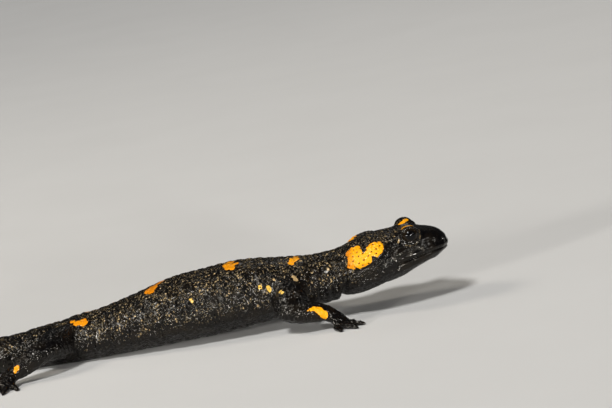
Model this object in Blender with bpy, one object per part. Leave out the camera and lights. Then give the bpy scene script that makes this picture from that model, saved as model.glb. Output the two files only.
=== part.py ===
"""A life-size adult fire salamander with its head raised, resting on a level floor.

The script works in metres: +X towards the snout, +Y to the animal's left, +Z up, with the floor at z = 0.
Sizes are written in millimetres. The body is a chain of closed lengths along a bent spine. Each limb is a
chain of three pieces that meet the body and each other with a thin gap.
"""

import math

import bmesh
import bpy
from mathutils import Vector

MM = 0.001

# Driving sizes, in millimetres.
GAP = 0.3  # space left between two pieces that meet
TOTAL_LENGTH = 180.0  # snout tip to tail tip, along the spine
GROOVE_PITCH = 4.0  # one costal groove on the flank for each rib
GROOVE_DEPTH = 0.28
TAIL_RING_PITCH = 3.6  # one shallow ring on the tail for each vertebra
TAIL_RING_DEPTH = 0.16
GLAND_RISE = 0.75  # how far a parotoid gland swells out behind the eye
BROW_RISE = 0.6  # how far the skull swells round the eye
BODY_SIDES = 26
TAIL_SIDES = 18
LIMB_SIDES = 12
LIMB_RINGS = 5  # lengths of skin between two joints of a limb
RING_ROOM = 0.12  # least space between those rings at the inside of a bend
DIGIT_SIDES = 6

# The body along the spine: distance behind the snout tip, half width, underside, back, squareness.
# The underside is a little below the floor where the body rests on it, which leaves a small flat.
BODY = (
    (0.35, 1.9, 11.0, 13.8, 2.0),
    (1.4, 3.6, 10.4, 15.0, 2.1),
    (3.0, 4.8, 9.8, 15.8, 2.3),
    (5.5, 5.9, 9.2, 16.4, 2.5),
    (8.7, 6.8, 8.1, 16.7, 2.5),
    (13.0, 7.9, 6.4, 16.9, 2.5),
    (17.0, 8.6, 5.3, 16.6, 2.4),
    (20.0, 8.5, 4.6, 16.0, 2.3),
    (23.0, 7.6, 4.2, 15.1, 2.2),
    (26.5, 7.0, 3.8, 14.4, 2.1),
    (31.0, 7.3, 3.1, 14.3, 2.1),
    (36.0, 8.0, 2.4, 14.8, 2.2),
    (44.0, 9.0, 1.5, 15.3, 2.2),
    (52.0, 9.6, 0.9, 15.0, 2.2),
    (60.0, 9.6, 0.5, 14.2, 2.2),
    (68.0, 9.0, 0.2, 12.6, 2.2),
    (76.0, 8.0, -0.1, 10.7, 2.2),
    (83.0, 6.9, -0.3, 9.5, 2.2),
    (90.0, 6.1, -0.35, 8.8, 2.2),
    (97.0, 5.3, -0.35, 8.1, 2.1),
    (108.0, 4.7, -0.35, 7.7, 2.0),
    (125.0, 4.1, -0.35, 6.9, 2.0),
    (145.0, 3.2, -0.3, 5.8, 2.0),
    (165.0, 2.2, -0.25, 4.2, 2.0),
    (175.0, 1.5, -0.15, 2.9, 2.0),
    (179.3, 0.75, 0.0, 1.6, 2.0),
)

# Which way the spine points along its length, in degrees to the left of +X.
HEADINGS = ((0.0, 2.0), (22.0, 2.0), (36.0, 0.0), (60.0, -3.0), (87.0, -1.0),
            (108.0, 4.0), (140.0, 17.0), (165.0, 30.0), (180.0, 38.0))

# How high the widest level of the body lies between underside and back.
WIDEST_LEVEL = ((0.0, 0.42), (17.0, 0.42), (36.0, 0.47), (180.0, 0.5))

# Where the body is parted.
LENGTHS = (
    ("neck", 22.5, 30.5, 2.0),
    ("trunk_front", 30.5, 44.0, GROOVE_PITCH / 2),
    ("trunk_middle", 44.0, 68.0, GROOVE_PITCH / 2),
    ("trunk_rear", 68.0, 95.0, GROOVE_PITCH / 2),
    ("tail_base", 95.0, 122.0, TAIL_RING_PITCH / 2),
    ("tail_middle", 122.0, 151.0, TAIL_RING_PITCH / 2),
)
HEAD_END = 22.5
HEAD_RING_STEP = 1.25
SNOUT_HEIGHT = 12.4

# The eye, measured in the head's own frame: behind the snout tip, to the side, up.
EYE_AT = (8.6, 5.3, 15.85)
EYE_RADIUS = 2.0
LID_AT = (8.6, 4.75, 15.85)
LID_RADIUS = 2.55

# The mouth, as (distance behind the snout tip, height) from the lips to the corner of the jaw.
MOUTH = ((-2.0, 11.5), (1.0, 11.4), (5.0, 11.2), (9.0, 10.6), (12.5, 10.1), (14.2, 9.8))

# The limbs. Each limb: side (-1 right, +1 left), station on the spine, then root, elbow or knee, and wrist or
# ankle as (forward, sideways, up) from the spine there, the way its palm points in degrees outwards, its sizes.
FINGERS = (2.6, 3.9, 4.2, 3.0)
TOES = (2.4, 3.7, 4.6, 4.3, 2.9)
ARM = ((0.0, 3.7, 3.4), (0.5, 3.1, 3.0), (1.0, 2.5, 2.4), (1.4, 2.55, 2.4),
       (2.0, 2.0, 1.8), (2.5, 2.35, 1.2), (3.0, 2.2, 0.85))
LEG = ((0.0, 3.9, 3.8), (0.5, 3.5, 3.4), (1.0, 2.8, 2.6), (1.4, 2.8, 2.55),
       (2.0, 2.0, 1.7), (2.5, 2.65, 1.25), (3.0, 2.5, 0.9))
FRONT = (("upper_arm", "forearm", "hand"), ARM, FINGERS)
HIND = (("thigh", "shin", "foot"), LEG, TOES)
LIMBS = (
    ("right", -1, 35.5, ((0.0, 4.5, 8.8), (-1.8, 11.8, 5.4), (6.4, 11.8, 3.6)), 26.0, FRONT),
    ("left", 1, 35.5, ((0.0, 4.5, 8.8), (-5.2, 12.0, 5.8), (-1.8, 17.0, 2.1)), 58.0, FRONT),
    ("right", -1, 86.0, ((0.0, 3.0, 5.2), (-4.6, 11.8, 5.6), (-11.6, 14.8, 2.4)), 125.0, HIND),
    ("left", 1, 86.0, ((0.0, 3.0, 4.9), (5.2, 11.6, 5.2), (2.2, 17.6, 2.4)), 62.0, HIND),
)
PALM_LENGTH = 4.2
PALM_END_HEIGHT = 0.7
DIGIT_RADIUS = 0.78
DIGIT_LEVEL = 0.8  # height of a digit's middle line, as a share of its radius
DIGIT_FAN = 28.0  # degrees between two neighbouring digits

SKIN_BLACK = (0.012, 0.011, 0.012)
EYE_BLACK = (0.004, 0.003, 0.003)


def clear_scene():
    for old in list(bpy.data.objects):
        bpy.data.objects.remove(old)


def material(name, colour, roughness):
    """A plain non-metallic finish."""
    made = bpy.data.materials.new(name)
    made.use_nodes = True
    shader = made.node_tree.nodes["Principled BSDF"]
    shader.inputs["Base Color"].default_value = (*colour, 1.0)
    shader.inputs["Roughness"].default_value = roughness
    shader.inputs["Metallic"].default_value = 0.0
    return made


def between(rows, at, column=1):
    """The value of one column of a table at a distance: a smooth curve through the rows."""
    last = len(rows) - 1
    k = 0
    while k < last - 1 and at > rows[k + 1][0]:
        k += 1

    def slope(i):
        low, high = max(i - 1, 0), min(i + 1, last)
        return (rows[high][column] - rows[low][column]) / (rows[high][0] - rows[low][0])

    start, end = rows[k], rows[k + 1]
    span = end[0] - start[0]
    t = min(max((at - start[0]) / span, 0.0), 1.0)
    rise = end[column] - start[column]
    m0, m1 = slope(k) * span, slope(k + 1) * span
    return start[column] + t * (m0 + t * (3 * rise - 2 * m0 - m1 + t * (m0 + m1 - 2 * rise)))


def spine_points(step=0.5):
    """The spine's plan from the snout tip backwards, as (x, y, heading in radians) for each step."""
    points = [(0.0, 0.0, math.radians(between(HEADINGS, 0.0)))]
    for k in range(round(TOTAL_LENGTH / step)):
        x, y, _ = points[-1]
        middle = math.radians(between(HEADINGS, (k + 0.5) * step))
        heading = math.radians(between(HEADINGS, (k + 1) * step))
        points.append((x - step * math.cos(middle), y - step * math.sin(middle), heading))
    return points, step


SPINE, SPINE_STEP = spine_points()


def on_spine(at, forward=0.0, side=0.0, up=0.0):
    """A point beside the spine at a station: forward along it, to the left of it and above the floor."""
    place = min(max(at / SPINE_STEP, 0.0), len(SPINE) - 1.001)
    k = int(place)
    t = place - k
    x, y, heading = (a + (b - a) * t for a, b in zip(SPINE[k], SPINE[k + 1]))
    ahead = Vector((math.cos(heading), math.sin(heading), 0.0))
    left = Vector((-ahead.y, ahead.x, 0.0))
    return Vector((x, y, up)) + forward * ahead + side * left


def hump(value, centre, width):
    """1 at the centre, falling smoothly to 0 at a width away."""
    away = abs(value - centre) / width
    return 0.5 + 0.5 * math.cos(math.pi * away) if away < 1.0 else 0.0


def relief(at, turn):
    """How far the skin stands out from the plain section. turn is in degrees: 0 at the side, 90 at the back."""
    side = abs((turn + 180.0) % 360.0 - 180.0)
    rise = side if side <= 90.0 else 180.0 - side
    rise = rise if 0.0 <= turn <= 180.0 else -rise
    out = 0.0
    if 11.0 < at < 24.0:  # the gland behind the eye
        out += GLAND_RISE * hump(at, 17.5, 6.0) * hump(rise, 40.0, 34.0)
    if 4.0 < at < 14.0:  # the brow, which carries the lids
        out += BROW_RISE * hump(at, 8.7, 4.8) * hump(rise, 52.0, 36.0)
    if 36.0 < at < 92.0:  # the grooves between the ribs, which fade on the back and belly
        groove = 0.5 + 0.5 * math.cos(2 * math.pi * (at - 36.0) / GROOVE_PITCH)
        ends = min(1.0, (at - 36.0) / 6.0, (92.0 - at) / 6.0)
        out -= GROOVE_DEPTH * groove * ends * hump(rise, 0.0, 75.0)
    if 95.0 < at < 172.0:  # the rings of the tail
        ring = 0.5 + 0.5 * math.cos(2 * math.pi * (at - 95.0) / TAIL_RING_PITCH)
        out -= TAIL_RING_DEPTH * ring * min(1.0, (172.0 - at) / 20.0)
    if 22.5 < at < 27.5:  # the fold across the throat
        out -= 0.5 * hump(at, 24.5, 2.0) * hump(rise, -70.0, 80.0)
    return out


def bent(value, power):
    return math.copysign(abs(value) ** power, value)


def section(at, sides, grow=0.0):
    """The ring of points round the body at a station, from its left side over the back."""
    half, under, back, square = (between(BODY, at, column) for column in (1, 2, 3, 4))
    level = under + between(WIDEST_LEVEL, at) * (back - under)
    ring = []
    for k in range(sides):
        turn = 360.0 * k / sides
        across, up = math.cos(math.radians(turn)), math.sin(math.radians(turn))
        reach = back - level if up > 0 else level - under
        side = half * bent(across, 2.0 / square)
        rise = reach * bent(up, 2.0 / square)
        size = math.hypot(side, rise)
        out = 1.0 + (relief(at, turn) + grow) / size
        ring.append(on_spine(at, 0.0, side * out, max(level + rise * out, -grow)))
    return ring


def loft(name, rings, start=None, end=None):
    """A closed mesh through rings of points in order, closed by a flat face or a tip point at each end."""
    shape = bmesh.new()
    loops = [[shape.verts.new(p * MM) for p in ring] for ring in rings]
    count = len(rings[0])
    for low, high in zip(loops, loops[1:]):
        for k in range(count):
            j = (k + 1) % count
            shape.faces.new((low[k], low[j], high[j], high[k]))
    for loop, tip in ((loops[0], start), (loops[-1], end)):
        if tip is None:
            shape.faces.new(loop)
            continue
        point = shape.verts.new(tip * MM)
        for k in range(count):
            shape.faces.new((loop[k], loop[(k + 1) % count], point))
    return finish_mesh(name, shape)


def finish_mesh(name, shape):
    """An object from a bmesh, with its faces turned outwards."""
    shape.normal_update()
    bmesh.ops.recalc_face_normals(shape, faces=shape.faces)
    mesh = bpy.data.meshes.new(name)
    shape.to_mesh(mesh)
    shape.free()
    mesh.shade_smooth()
    made = bpy.data.objects.new(name, mesh)
    bpy.context.scene.collection.objects.link(made)
    return made


def ball(name, centre, radius, rings=10, sides=16):
    """A sphere whose poles lie to the animal's sides, so that a lid and its socket share one axis."""
    shape = bmesh.new()
    bmesh.ops.create_uvsphere(shape, u_segments=sides, v_segments=rings, radius=radius * MM)
    for vert in shape.verts:
        x, y, z = vert.co
        vert.co = Vector((x, -z, y)) + centre * MM
    return finish_mesh(name, shape)


def combine(target, tool, operation):
    """Applies a Boolean of the tool on the target and deletes the tool."""
    modifier = target.modifiers.new("cut", "BOOLEAN")
    modifier.operation = operation
    modifier.solver = "EXACT"
    modifier.object = tool
    bpy.context.view_layer.update()
    graph = bpy.context.evaluated_depsgraph_get()
    mesh = bpy.data.meshes.new_from_object(target.evaluated_get(graph))
    target.modifiers.clear()
    target.data = mesh
    bpy.data.objects.remove(tool)
    return target


def stations(start, end, step):
    """Even stations from start to end, about a step apart."""
    count = max(1, round((end - start) / step))
    return [start + (end - start) * k / count for k in range(count + 1)]


def make_length(name, start, end, step, sides):
    """One length of the body between two flat ends, a gap short of the next length."""
    rings = [section(at, sides) for at in stations(start + GAP, end, step)]
    return loft(name, rings)


def head_side(side, at):
    """A point of the head from its own measures: behind the snout tip, to the side, up."""
    return on_spine(at[0], 0.0, side * at[1], at[2])


def jaw_block(name, lift):
    """The block that holds the lower jaw: under the mouth, and ahead of the jaw's corner."""
    top = [(at, height + lift) for at, height in MOUTH]
    back = MOUTH[-1][0] + lift
    top[-1] = (back, top[-1][1])
    outline = top + [(back + 0.9, 7.0), (back + 1.2, 2.0), (-2.0, 2.0)]
    rings = []
    for side in (-12.0, 12.0):
        snout = SPINE[0]
        ahead = Vector((math.cos(snout[2]), math.sin(snout[2]), 0.0))
        left = Vector((-ahead.y, ahead.x, 0.0))
        rings.append([Vector((snout[0], snout[1], z)) - at * ahead + side * left for at, z in outline])
    return loft(name, rings)


def make_head():
    """The head with its lids and eye sockets, the lower jaw parted from it along the mouth, and the eyes."""
    near_tip = [0.35, 0.8, 1.4, 2.1]
    rings = [section(at, BODY_SIDES) for at in near_tip + stations(3.0, HEAD_END, HEAD_RING_STEP)]
    head = loft("head", rings, start=on_spine(0.0, 0.0, 0.0, SNOUT_HEIGHT))
    for side in (-1, 1):
        combine(head, ball("lid", head_side(side, LID_AT), LID_RADIUS), "UNION")
        combine(head, ball("socket", head_side(side, EYE_AT), EYE_RADIUS + GAP), "DIFFERENCE")
    jaw = head.copy()
    jaw.data = head.data.copy()
    jaw.name = "lower_jaw"
    bpy.context.scene.collection.objects.link(jaw)
    combine(jaw, jaw_block("jaw_block", 0.0), "INTERSECT")
    combine(head, jaw_block("jaw_block", GAP), "DIFFERENCE")
    eyes = [ball(f"{word}_eye", head_side(side, EYE_AT), EYE_RADIUS) for word, side in (("right", -1), ("left", 1))]
    return [head, jaw], eyes


def make_tail_tip():
    start = LENGTHS[-1][2] + GAP
    rings = [section(at, TAIL_SIDES) for at in stations(start, 176.0, TAIL_RING_PITCH / 2) + [178.0, 179.3]]
    return loft("tail_tip", rings, end=on_spine(TOTAL_LENGTH, 0.0, 0.0, 0.7))


def make_body_lengths():
    made = []
    for name, start, end, step in LENGTHS:
        sides = TAIL_SIDES if name.startswith("tail") else BODY_SIDES
        made.append(make_length(name, start, end, step, sides))
    return [*made, make_tail_tip()]


def body_envelope():
    """The trunk grown by a gap, which cuts the roots of the limbs to its flanks."""
    rings = [section(at, BODY_SIDES, GAP) for at in stations(24.0, 100.0, GROOVE_PITCH / 2)]
    return loft("envelope", rings)


def tube_ring(centre, along, wide, thick, sides):
    """An oval ring across a limb, kept above the floor."""
    across = along.cross(Vector((0, 0, 1))).normalized()
    upward = across.cross(along).normalized()
    ring = []
    for k in range(sides):
        turn = 2 * math.pi * k / sides
        point = centre + across * (wide * math.cos(turn)) + upward * (thick * math.sin(turn))
        point.z = max(point.z, 0.0)
        ring.append(point)
    return ring


def along_joints(joints, t):
    """A point on a smooth curve through a limb's joints. t counts the joints from the root."""
    k = min(int(t), len(joints) - 2)
    u = t - k
    before = joints[max(k - 1, 0)]
    after = joints[min(k + 2, len(joints) - 1)]
    start, end = joints[k], joints[k + 1]
    m0, m1 = (end - before) * 0.4, (after - start) * 0.4
    rise = end - start
    return start + u * (m0 + u * (3 * rise - 2 * m0 - m1 + u * (m0 + m1 - 2 * rise)))


def limb_direction(joints, t):
    return (along_joints(joints, min(t + 0.02, 3.0)) - along_joints(joints, max(t - 0.02, 0.0))).normalized()


def limb_ring(joints, sizes, t):
    """The ring across a limb at t, from round at the root to flat at the palm."""
    wide, thick = between(sizes, t, 1), between(sizes, t, 2)
    return tube_ring(along_joints(joints, t), limb_direction(joints, t), wide, thick, LIMB_SIDES)


def keep_side(ring, joint, direction, room):
    """Moves the points of a ring to one side of a joint's plane, at least a little room away from it."""
    for point in ring:
        short = room - (point - joint).dot(direction)
        if short > 0.0:
            point += short * direction


def digit(name, root, heading, length):
    """One finger or toe, lying on a flat strip of its underside, with a round tip."""
    ahead = Vector((math.cos(heading), math.sin(heading), 0.0))
    rings = []
    for share, size in ((0.0, 0.95), (0.35, 1.0), (0.8, 0.78), (0.96, 0.45)):
        radius = DIGIT_RADIUS * size
        centre = root + ahead * (length * share) + Vector((0, 0, DIGIT_LEVEL * radius))
        rings.append(tube_ring(centre, ahead, radius, radius, DIGIT_SIDES))
    tip = root + ahead * length + Vector((0, 0, 0.4 * DIGIT_RADIUS))
    return loft(name, rings, start=root + Vector((0, 0, DIGIT_RADIUS * 0.8)) - 0.3 * ahead, end=tip)


def add_digits(palm, knuckles, heading, half_width, lengths):
    """Joins the digits to a palm, fanned out from its front edge."""
    ahead = Vector((math.cos(heading), math.sin(heading), 0.0))
    across = Vector((-ahead.y, ahead.x, 0.0))
    middle = (len(lengths) - 1) / 2
    for k, length in enumerate(lengths):
        off = (k - middle) / middle
        root = Vector((knuckles.x, knuckles.y, 0.0)) - ahead * (0.5 + 1.2 * off * off)
        root += across * (0.8 * half_width * off)
        turn = heading + math.radians(DIGIT_FAN) * (k - middle)
        combine(palm, digit("digit", root, turn, length + 0.5), "UNION")


def make_limb(word, side, station, places, palm_turn, kind):
    """One limb in three pieces, from its root in the body's flank to its digits."""
    names, sizes, lengths = kind
    joints = [on_spine(station, ahead, side * out, up) for ahead, out, up in places]
    heading = SPINE[round(station / SPINE_STEP)][2] + side * math.radians(palm_turn)
    knuckles = joints[2] + PALM_LENGTH * Vector((math.cos(heading), math.sin(heading), 0.0))
    knuckles.z = PALM_END_HEIGHT
    joints.append(knuckles)
    pieces = []
    for k, name in enumerate(names):
        rings = [limb_ring(joints, sizes, t) for t in stations(k, k + 1, 1 / LIMB_RINGS)]
        for n in range(len(rings)):
            if k > 0:
                keep_side(rings[n], joints[k], limb_direction(joints, k), GAP / 2 + RING_ROOM * n)
            if k < 2:
                room = GAP / 2 + RING_ROOM * (len(rings) - 1 - n)
                keep_side(rings[n], joints[k + 1], -limb_direction(joints, k + 1), room)
        tip = None if k < 2 else knuckles + 0.45 * (knuckles - joints[2]).normalized()
        pieces.append(loft(f"{word}_{name}", rings, end=tip))
    combine(pieces[0], body_envelope(), "DIFFERENCE")
    add_digits(pieces[2], knuckles, heading, sizes[-1][1], lengths[::-side])
    return pieces


def centre_on_floor(objects):
    """Moves the meshes so that the origin lies on the floor under the middle of their box."""
    corners = [v.co for made in objects for v in made.data.vertices]
    x = (min(c.x for c in corners) + max(c.x for c in corners)) / 2
    y = (min(c.y for c in corners) + max(c.y for c in corners)) / 2
    for made in objects:
        for vert in made.data.vertices:
            vert.co -= Vector((x, y, 0.0))


def build():
    clear_scene()
    flesh, eyes = make_head()
    flesh += make_body_lengths()
    for limb in LIMBS:
        flesh += make_limb(*limb)
    skin = material("skin", SKIN_BLACK, 0.3)
    wet_eye = material("eye", EYE_BLACK, 0.05)
    for made in flesh:
        made.data.materials.clear()
        made.data.materials.append(skin)
    for made in eyes:
        made.data.materials.append(wet_eye)
    centre_on_floor(flesh + eyes)


build()
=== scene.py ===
"""The looks of a life-size adult fire salamander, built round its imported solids.

One skin covers the flesh: the solids are joined, remeshed and smoothed, then carved with the mouth, lids,
folds, costal grooves, glands and wrinkles. Each marking is laid out by its place on the body. Lengths are
in millimetres and angles in degrees, unless a comment says otherwise.
"""

import math

import bmesh
import bpy
import numpy as np
from mathutils import Matrix, Vector, noise
from mathutils.bvhtree import BVHTree
from mathutils.kdtree import KDTree


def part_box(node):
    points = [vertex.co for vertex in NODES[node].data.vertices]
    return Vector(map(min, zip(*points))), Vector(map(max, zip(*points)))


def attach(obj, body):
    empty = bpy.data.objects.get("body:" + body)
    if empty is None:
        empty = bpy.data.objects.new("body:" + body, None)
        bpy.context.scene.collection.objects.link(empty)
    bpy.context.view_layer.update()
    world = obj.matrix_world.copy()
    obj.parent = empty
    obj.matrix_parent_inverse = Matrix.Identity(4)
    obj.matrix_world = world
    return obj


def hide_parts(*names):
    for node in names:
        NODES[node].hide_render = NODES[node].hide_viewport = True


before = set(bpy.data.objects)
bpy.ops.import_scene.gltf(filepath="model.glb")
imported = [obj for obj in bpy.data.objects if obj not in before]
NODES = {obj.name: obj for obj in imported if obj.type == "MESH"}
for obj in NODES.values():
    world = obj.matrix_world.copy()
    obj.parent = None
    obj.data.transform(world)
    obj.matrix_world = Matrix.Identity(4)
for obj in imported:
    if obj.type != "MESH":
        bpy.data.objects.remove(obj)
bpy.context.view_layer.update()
MM = 0.001

# ---- The body's own measures, as in the solids ----

TOTAL_LENGTH = 180.0  # snout tip to tail tip, along the spine
SPINE_STEP = 0.5
# Which way the spine points along its length, in degrees to the left of +X.
HEADINGS = ((0.0, 2.0), (22.0, 2.0), (36.0, 0.0), (60.0, -3.0), (87.0, -1.0),
            (108.0, 4.0), (140.0, 17.0), (165.0, 30.0), (180.0, 38.0))
EYE_STATION = 8.6
HEAD_END = 24.0  # the head's finer mesh ends here, just behind the gland
# The mouth, as (distance behind the snout tip, height) from the lips to the corner of the jaw.
MOUTH = ((-2.0, 11.5), (1.0, 11.4), (5.0, 11.2), (9.0, 10.6), (12.5, 10.1), (14.2, 9.8))
RIB_START, RIB_END, RIB_PITCH = 36.0, 92.0, 4.0
TAIL_START, TAIL_RING_PITCH = 95.0, 3.6

EYES = ("right_eye", "left_eye")
FLESH = [name for name in NODES if name not in EYES]  # the solids that the skin takes the place of
LIMB_WORDS = ("arm", "hand", "thigh", "shin", "foot")
LIMB_CHAINS = [[f"{side}_{part}" for part in chain] for side in ("right", "left")
               for chain in (("upper_arm", "forearm", "hand"), ("thigh", "shin", "foot"))]


def placed(name, data):
    """A new object in the scene."""
    made = bpy.data.objects.new(name, data)
    bpy.context.scene.collection.objects.link(made)
    return made


def mesh_of(shape, name):
    """A mesh from a shape, which is freed."""
    mesh = bpy.data.meshes.new(name)
    shape.to_mesh(mesh)
    shape.free()
    return mesh


def tree_of(points):
    """Finds the nearest of some points."""
    tree = KDTree(len(points))
    for index, point in enumerate(points):
        tree.insert(point, index)
    tree.balance()
    return tree


def node_centre(name):
    low, high = (np.array(corner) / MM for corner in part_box(name))
    return (low + high) / 2


def between(rows, at):
    """The value of a table at a distance: a smooth curve through its rows."""
    last = len(rows) - 1
    k = 0
    while k < last - 1 and at > rows[k + 1][0]:
        k += 1

    def slope(i):
        low, high = max(i - 1, 0), min(i + 1, last)
        return (rows[high][1] - rows[low][1]) / (rows[high][0] - rows[low][0])

    start, end = rows[k], rows[k + 1]
    span = end[0] - start[0]
    t = min(max((at - start[0]) / span, 0.0), 1.0)
    rise = end[1] - start[1]
    m0, m1 = slope(k) * span, slope(k + 1) * span
    return start[1] + t * (m0 + t * (3 * rise - 2 * m0 - m1 + t * (m0 + m1 - 2 * rise)))


def spine_points():
    """The spine's plan from the snout tip backwards: x, y and heading in radians, placed by the eyes."""
    rows = [(0.0, 0.0, math.radians(between(HEADINGS, 0.0)))]
    for k in range(round(TOTAL_LENGTH / SPINE_STEP)):
        x, y, _ = rows[-1]
        middle = math.radians(between(HEADINGS, (k + 0.5) * SPINE_STEP))
        heading = math.radians(between(HEADINGS, (k + 1) * SPINE_STEP))
        rows.append((x - SPINE_STEP * math.cos(middle), y - SPINE_STEP * math.sin(middle), heading))
    spine = np.array(rows)
    between_eyes = sum(node_centre(name) for name in EYES) / 2
    place = EYE_STATION / SPINE_STEP
    at_eyes = [np.interp(place, np.arange(len(spine)), spine[:, c]) for c in (0, 1)]
    spine[:, :2] += between_eyes[:2] - at_eyes
    return spine


SPINE = spine_points()
CHUNK = 20000  # points that are measured at a time, to save memory


def along_body(points):
    """How far behind the snout tip each point lies along the spine, and how far to the left of it."""
    nearest = np.empty(len(points), int)
    for start in range(0, len(points), CHUNK):
        part = slice(start, start + CHUNK)
        nearest[part] = ((points[part, None, :2] - SPINE[None, :, :2]) ** 2).sum(2).argmin(1)
    x, y, heading = SPINE[nearest].T
    dx, dy = points[:, 0] - x, points[:, 1] - y
    ahead = dx * np.cos(heading) + dy * np.sin(heading)
    return nearest * SPINE_STEP - ahead, dy * np.cos(heading) - dx * np.sin(heading)


def on_body(at, side, up):
    """The place at a distance behind the snout tip, to the left of the spine and above the floor."""
    steps = np.arange(len(SPINE)) * SPINE_STEP
    x, y, heading = (np.interp(at, steps, SPINE[:, c]) for c in range(3))
    return np.array((x - side * math.sin(heading), y + side * math.cos(heading), up))


# ---- Small tools for fields over the skin ----

def bump(away, width):
    """1 where away is 0, falling to nothing a couple of widths off."""
    return np.exp(-(away / width) ** 2)


def fade(value, low, high):
    """0 below low, 1 above high and smooth between; the other way round where low is above high."""
    t = np.clip((value - low) / (high - low), 0.0, 1.0)
    return t * t * (3 - 2 * t)


def window(value, low, full_low, full_high, high):
    """1 between full_low and full_high, fading to 0 at low and at high."""
    return fade(value, low, full_low) * fade(value, high, full_high)


def bumps(away, rows):
    """The sum of several bumps, each a row of its rise, its middle and its width."""
    return sum(rise * bump(away - middle, width) for rise, middle, width in rows)


def off_step(value, start, pitch):
    """How far each value is from the nearest of evenly spaced steps."""
    return (value - start + pitch / 2) % pitch - pitch / 2


def noise_at(points, size, seed=0.0):
    """Smooth noise from about -1 to 1, in lumps of a size, which may differ along x, y and z."""
    places = points / np.asarray(size) + seed
    return np.array([noise.noise(p) for p in places.tolist()])


def cells_at(points, size, seed=0.0):
    """From each point to the edge of its cell: 0 in the furrows, up to about 0.6 inside the grains."""
    places = (points / size + seed).tolist()
    out = np.empty(len(places))
    for k, place in enumerate(places):
        near = noise.voronoi(place)[0]
        out[k] = near[1] - near[0]
    return out


def distance(points, place):
    """How far each point is from a place."""
    return np.linalg.norm(points - place, axis=1)


def near_line(places, corners):
    """The distance from each place to a line through corners."""
    nearest = np.full(len(places), 99.0)
    for start, end in zip(corners[:-1], corners[1:]):
        run = np.subtract(end, start)
        rel = places - start
        t = np.clip(rel @ run / (run @ run), 0.0, 1.0)
        nearest = np.minimum(nearest, distance(rel, t[:, None] * run))
    return nearest


def within(places, corners):
    """How far inside a closed outline each flat place is, negative outside."""
    inside = np.zeros(len(places), bool)
    closed = [*corners, corners[0]]
    x, y = places.T
    for (ax, ay), (bx, by) in zip(closed[:-1], closed[1:]):
        if ay != by:
            inside ^= ((ay > y) != (by > y)) & (x < ax + (y - ay) * (bx - ax) / (by - ay))
    away = near_line(places, closed)
    return np.where(inside, away, -away)


def neighbour_means(values, a, b, degree):
    """The mean of each point's neighbours, where a and b are the ends of the edges."""
    rows = values.reshape(len(values), -1).T
    sums = [np.bincount(a, row[b], len(row)) + np.bincount(b, row[a], len(row)) for row in rows]
    return (np.stack(sums, 1) / degree[:, None]).reshape(values.shape)


class Skin:
    """The skin's mesh with its points in millimetres, its neighbours and its fields."""

    def __init__(self, mesh):
        self.mesh = mesh
        count = len(mesh.vertices)
        flat = np.empty(count * 3)
        mesh.vertices.foreach_get("co", flat)
        self.points = flat.reshape(-1, 3) / MM
        ends = np.empty(len(mesh.edges) * 2, int)
        mesh.edges.foreach_get("vertices", ends)
        self.a, self.b = ends[0::2], ends[1::2]
        self.degree = np.bincount(ends, minlength=count)

    def soften(self, values, times, share=0.5):
        for _ in range(times):
            values = values + share * (neighbour_means(values, self.a, self.b, self.degree) - values)
        return values

    def fair(self, times):
        """Smooths the points without shrinking the form, by a step in and a step out."""
        for _ in range(times):
            for share in (0.5, -0.52):
                self.points = self.soften(self.points, 1, share)

    def ease(self, where, times):
        """Smooths the points where a field is above 0, by as much as the field says."""
        near = np.flatnonzero(where > 0.001)
        index = np.full(len(where), -1)
        index[near] = np.arange(len(near))
        kept = (index[self.a] >= 0) & (index[self.b] >= 0)
        a, b = index[self.a[kept]], index[self.b[kept]]
        degree = np.maximum(np.bincount(np.append(a, b), minlength=len(near)), 1)
        points = self.points[near]
        share = 0.5 * where[near, None]
        for _ in range(times):
            points = points + share * (neighbour_means(points, a, b, degree) - points)
        self.points = self.points.copy()
        self.points[near] = points

    def store(self):
        self.mesh.vertices.foreach_set("co", (self.points * MM).ravel())
        self.mesh.update()

    def normals(self):
        self.store()
        flat = np.empty(len(self.points) * 3)
        self.mesh.vertex_normals.foreach_get("vector", flat)
        return flat.reshape(-1, 3)

    def index_points(self):
        """Lets closest find the points where they are now."""
        self.tree = tree_of(self.points.tolist())

    def closest(self, place):
        """The point of the skin nearest to a place."""
        return np.array(self.tree.find(place)[0])

    def spot(self, at, side, up):
        """The point of the skin nearest to a place on the body."""
        return self.closest(on_body(at, side, up))

    def attribute(self, name, values):
        made = self.mesh.attributes.new(name, "FLOAT", "POINT")
        made.data.foreach_set("value", values.astype(np.float32))


# ---- The skin's plain form, from the solids ----

VOXEL = 0.24
GROWTH = 0.22  # the solids grow by this before they are joined, which closes the gaps between them
LIMB_SPREAD, JOIN_SPREAD = 14, 60  # smoothing steps for the field of the limbs, and for that of their joins
FAIRING, JOIN_EASING = 10, 220  # smoothing steps for all the points, and for those at the joins
SLICE_STEP, SLICE_HALF = 1.5, 1.2  # slices that measure the body, along the spine
MID_LEVEL = 0.46  # the widest part's place between belly and back


def joined_flesh():
    """One mesh of all the solids, grown a little so that neighbours run into each other."""
    whole = bmesh.new()
    for name in NODES:
        piece = bmesh.new()
        piece.from_mesh(NODES[name].data)
        bmesh.ops.remove_doubles(piece, verts=piece.verts, dist=1e-6)
        bmesh.ops.recalc_face_normals(piece, faces=piece.faces)
        piece.normal_update()
        for vert in piece.verts:
            vert.co += vert.normal * GROWTH * MM
        grown = mesh_of(piece, name + "_grown")
        whole.from_mesh(grown)
        bpy.data.meshes.remove(grown)
    return mesh_of(whole, "flesh")


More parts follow.
